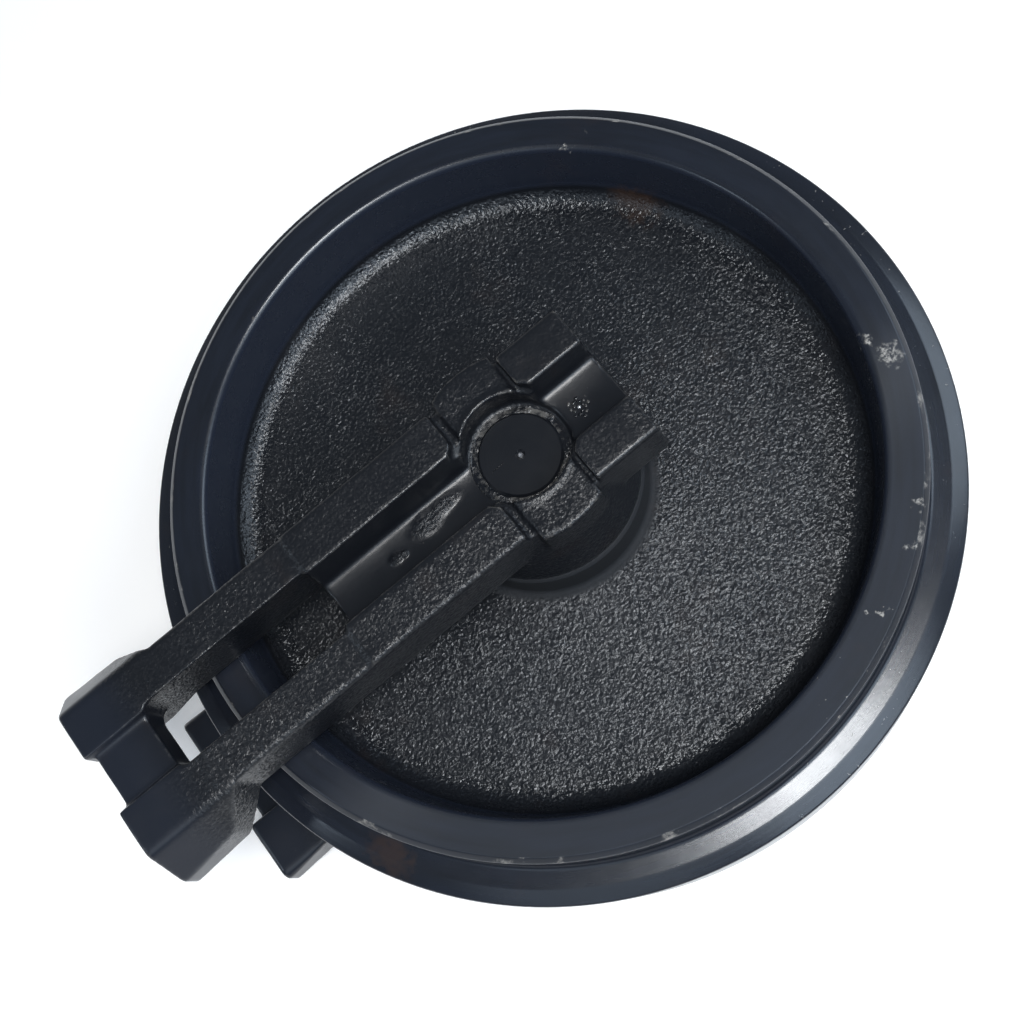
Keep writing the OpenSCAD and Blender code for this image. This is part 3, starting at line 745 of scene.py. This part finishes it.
class IDLER_OT_shaft(bpy.types.Operator):
    """Finishes the shaft, scribes its end and fills the edge of its seat with paint"""
    bl_idname = "idler.shaft"
    bl_label = "Shaft"

    def execute(self, context):
        colours = context.scene.idler_finishes
        dress("shaft", shaft_paint(colours))
        bm = bmesh.new()
        bmesh.ops.create_cube(bm, size=1.0)
        bmesh.ops.scale(bm, vec=SCRIBED_SIZE, verts=bm.verts)
        bmesh.ops.bevel(bm, geom=bm.edges[:], offset=SCRIBED_BREAK, offset_type="OFFSET",
                        affect="EDGES", segments=2, profile=0.5, material=-1)
        bmesh.ops.translate(bm, vec=SCRIBED_PLACE, verts=bm.verts)
        scribed = turned_metal("scribed_steel", colours.dust, colours.paint, 0.3)
        keep("shaft_scribed_line", bm, scribed, "arms_and_shaft")
        paint = bpy.data.materials["idler_arm_paint"]
        for side, sign in zip(BOTH_SIDES, (1, -1)):
            seat = [(SHAFT_HIGH.x + out, sign * height, 0) for out, height in SEAT_PAINT]
            keep(side + "_seat_paint", turned_solid(seat, SEAT_STEPS), paint,
                 "arms_and_shaft")
        return {"FINISHED"}


class IDLER_OT_nose_mark(bpy.types.Operator):
    """Sets the small round mark on the nose's floor"""
    bl_idname = "idler.nose_mark"
    bl_label = "Nose mark"

    def execute(self, context):
        colours = context.scene.idler_finishes
        place = Matrix.Translation(MARK_PLACE)
        bm = bmesh.new()
        for bead in range(MARK_BEADS):
            turn = Matrix.Rotation(bead * MARK_TURN, 4, "Z")
            out = Matrix.Translation((MARK_START + MARK_GROWTH * bead, 0.0, 0.0))
            bmesh.ops.create_icosphere(bm, subdivisions=2,
                                       radius=BEAD_RADIUS + BEAD_GROWTH * (bead % BEAD_SIZES),
                                       matrix=place @ turn @ out @ Matrix.Diagonal(BEAD_SHAPE))
        keep("nose_mark_beads", bm, bpy.data.materials["idler_arm_paint"],
             "arms_and_shaft")
        bm = bmesh.new()
        bmesh.ops.create_icosphere(bm, subdivisions=3, radius=MIDDLE_RADIUS,
                                   matrix=place @ Matrix.Diagonal(MIDDLE_SHAPE))
        keep("nose_mark_middle", bm, turned_metal("mark_steel", colours.steel, colours.zinc, 0.35),
             "arms_and_shaft")
        return {"FINISHED"}


class IDLER_OT_lock_pins(bpy.types.Operator):
    """Finishes the pins that lock the shaft"""
    bl_idname = "idler.lock_pins"
    bl_label = "Lock pins"

    def execute(self, context):
        colours = context.scene.idler_finishes
        steel = turned_metal("pin_steel", colours.steel, colours.iron, 0.2)
        for side in BOTH_SIDES:
            dress(side + "_lock_pin", steel)
        return {"FINISHED"}


class IDLER_OT_oil_plug(bpy.types.Operator):
    """Finishes the oil plug and its washer"""
    bl_idname = "idler.oil_plug"
    bl_label = "Oil plug"

    def execute(self, context):
        colours = context.scene.idler_finishes
        dress("oil_plug", turned_metal("plug_steel", colours.zinc, colours.iron, 0.22))
        dress("oil_plug_washer", turned_metal("washer_copper", colours.copper, colours.rust, 0.25))
        return {"FINISHED"}


class IDLER_OT_seals(bpy.types.Operator):
    """Finishes the floating seals and the shaft's O-rings"""
    bl_idname = "idler.seals"
    bl_label = "Seals"

    def execute(self, context):
        colours = context.scene.idler_finishes
        iron = turned_metal("seal_iron", colours.iron, colours.dust, 0.12, 1600.0)
        rubber = seal_rubber(colours)
        for side in BOTH_SIDES:
            for place in ("arm", "hub"):
                dress(f"{side}_{place}_seal_ring", iron)
                dress(f"{side}_{place}_toric", rubber)
            dress(side + "_shaft_o_ring", rubber)
        return {"FINISHED"}


class IDLER_OT_bushes(bpy.types.Operator):
    """Finishes the bushes"""
    bl_idname = "idler.bushes"
    bl_label = "Bushes"

    def execute(self, context):
        colours = context.scene.idler_finishes
        bronze = turned_metal("bush_bronze", colours.bronze, colours.copper, 0.2)
        for side in BOTH_SIDES:
            dress(side + "_bush", bronze)
        return {"FINISHED"}


class IDLER_OT_stage(bpy.types.Operator):
    """Sets camera, lights and floor"""
    bl_idname = "idler.stage"
    bl_label = "Stage"

    def execute(self, context):
        scene = context.scene
        stage = scene.idler_stage
        self.set_camera(scene, stage)
        self.hang_light(scene, "key", stage.key_place, stage.key_power, stage.key_size, WHITE[:3])
        for name in ("right", "front", "left", "side"):
            size = stage.side_size if name == "side" else stage.fill_size
            self.hang_light(scene, name + "_light", getattr(stage, name + "_place"),
                            getattr(stage, name + "_power"), size, stage.cool[:3])
        scene.world = self.sky_over(stage)
        self.lay_floor(scene, stage)
        scene.view_settings.view_transform = "Standard"
        return {"FINISHED"}

    def set_camera(self, scene, stage):
        lens = bpy.data.cameras.new("camera")
        lens.lens = stage.lens
        lens.sensor_width = 36.0
        camera = bpy.data.objects.new("camera", lens)
        place, aim = Vector(stage.camera_place), Vector(stage.camera_aim)
        look = (aim - place).to_track_quat("-Z", "Y").to_matrix().to_4x4()
        roll = Matrix.Rotation(stage.camera_roll, 4, "Z")
        camera.matrix_world = Matrix.Translation(place) @ look @ roll
        scene.collection.objects.link(camera)
        scene.camera = camera

    def hang_light(self, scene, name, place, power, size, colour):
        lamp = bpy.data.lights.new(name, "AREA")
        lamp.shape = "DISK"
        lamp.size = size
        lamp.energy = power
        lamp.color = colour
        light = bpy.data.objects.new(name, lamp)
        place = Vector(place)
        look = (-place).to_track_quat("-Z", "Y").to_matrix().to_4x4()
        light.matrix_world = Matrix.Translation(place) @ look
        scene.collection.objects.link(light)

    def sky_over(self, stage):
        world = bpy.data.worlds.new("studio")
        world.use_nodes = True
        tree = world.node_tree
        aim = add(tree, "ShaderNodeTexCoord").outputs["Generated"]
        low = fade(tree, separate(tree, aim)["Z"], *HAZE_FADE)
        feed(tree, tree.nodes["Background"], Color=blend_colour(tree, low, stage.cool, WHITE),
             Strength=between(tree, low, stage.sky, stage.haze))
        return world

    def lay_floor(self, scene, stage):
        material, tree, shader, place = blank_material("pale_floor")
        pale = scene.idler_finishes.floor
        shade, dim, bright = ((*(c * level for c in pale[:3]), 1.0)
                              for level in (0.97, stage.near_glow, stage.far_glow))
        away = vector(tree, "LENGTH", place)
        feed(tree, shader, Base_Color=blend_colour(tree, cloud(tree, place, 3.0, 3.0), pale, shade),
             Emission_Color=blend_colour(tree, fade(tree, away, *GLOW_REACH), dim, bright))
        shader.inputs["Roughness"].default_value = 0.8
        shader.inputs["Emission Strength"].default_value = 1.0
        bm = bmesh.new()
        bmesh.ops.create_grid(bm, x_segments=1, y_segments=1, size=stage.floor_size / 2)
        bmesh.ops.translate(bm, vec=(0, 0, FLOOR_LEVEL), verts=bm.verts)
        mesh = bpy.data.meshes.new("floor")
        bm.to_mesh(mesh)
        bm.free()
        mesh.materials.append(material)
        floor = bpy.data.objects.new("floor", mesh)
        scene.collection.objects.link(floor)


PIECES = (IDLER_OT_arms, IDLER_OT_wheel, IDLER_OT_shaft, IDLER_OT_nose_mark, IDLER_OT_lock_pins,
          IDLER_OT_oil_plug, IDLER_OT_seals, IDLER_OT_bushes, IDLER_OT_stage)
GROUPS = {"idler_wheel": WheelShape, "idler_skin": CastSkin, "idler_finishes": Finishes,
          "idler_stage": StageSetup}


class IDLER_PT_build(bpy.types.Panel):
    """Lists the idler's pieces and sizes"""
    bl_idname = "IDLER_PT_build"
    bl_label = "Front idler"
    bl_space_type = "VIEW_3D"
    bl_region_type = "UI"
    bl_category = "Idler"

    def draw(self, context):
        for operator in PIECES:
            self.layout.operator(operator.bl_idname)
        for name, group in GROUPS.items():
            box = self.layout.box()
            box.label(text=group.__doc__)
            for entry in group.__annotations__:
                box.prop(getattr(context.scene, name), entry)


def register():
    for cls in (*GROUPS.values(), *PIECES, IDLER_PT_build):
        bpy.utils.register_class(cls)
    for name, group in GROUPS.items():
        setattr(bpy.types.Scene, name, bpy.props.PointerProperty(type=group))


def unregister():
    for name in GROUPS:
        delattr(bpy.types.Scene, name)
    for cls in reversed((*GROUPS.values(), *PIECES, IDLER_PT_build)):
        bpy.utils.unregister_class(cls)


def main():
    register()
    bpy.ops.idler.arms()
    bpy.ops.idler.wheel()
    bpy.ops.idler.shaft()
    bpy.ops.idler.nose_mark()
    bpy.ops.idler.lock_pins()
    bpy.ops.idler.oil_plug()
    bpy.ops.idler.seals()
    bpy.ops.idler.bushes()
    bpy.ops.idler.stage()


if __name__ == "__main__":
    main()
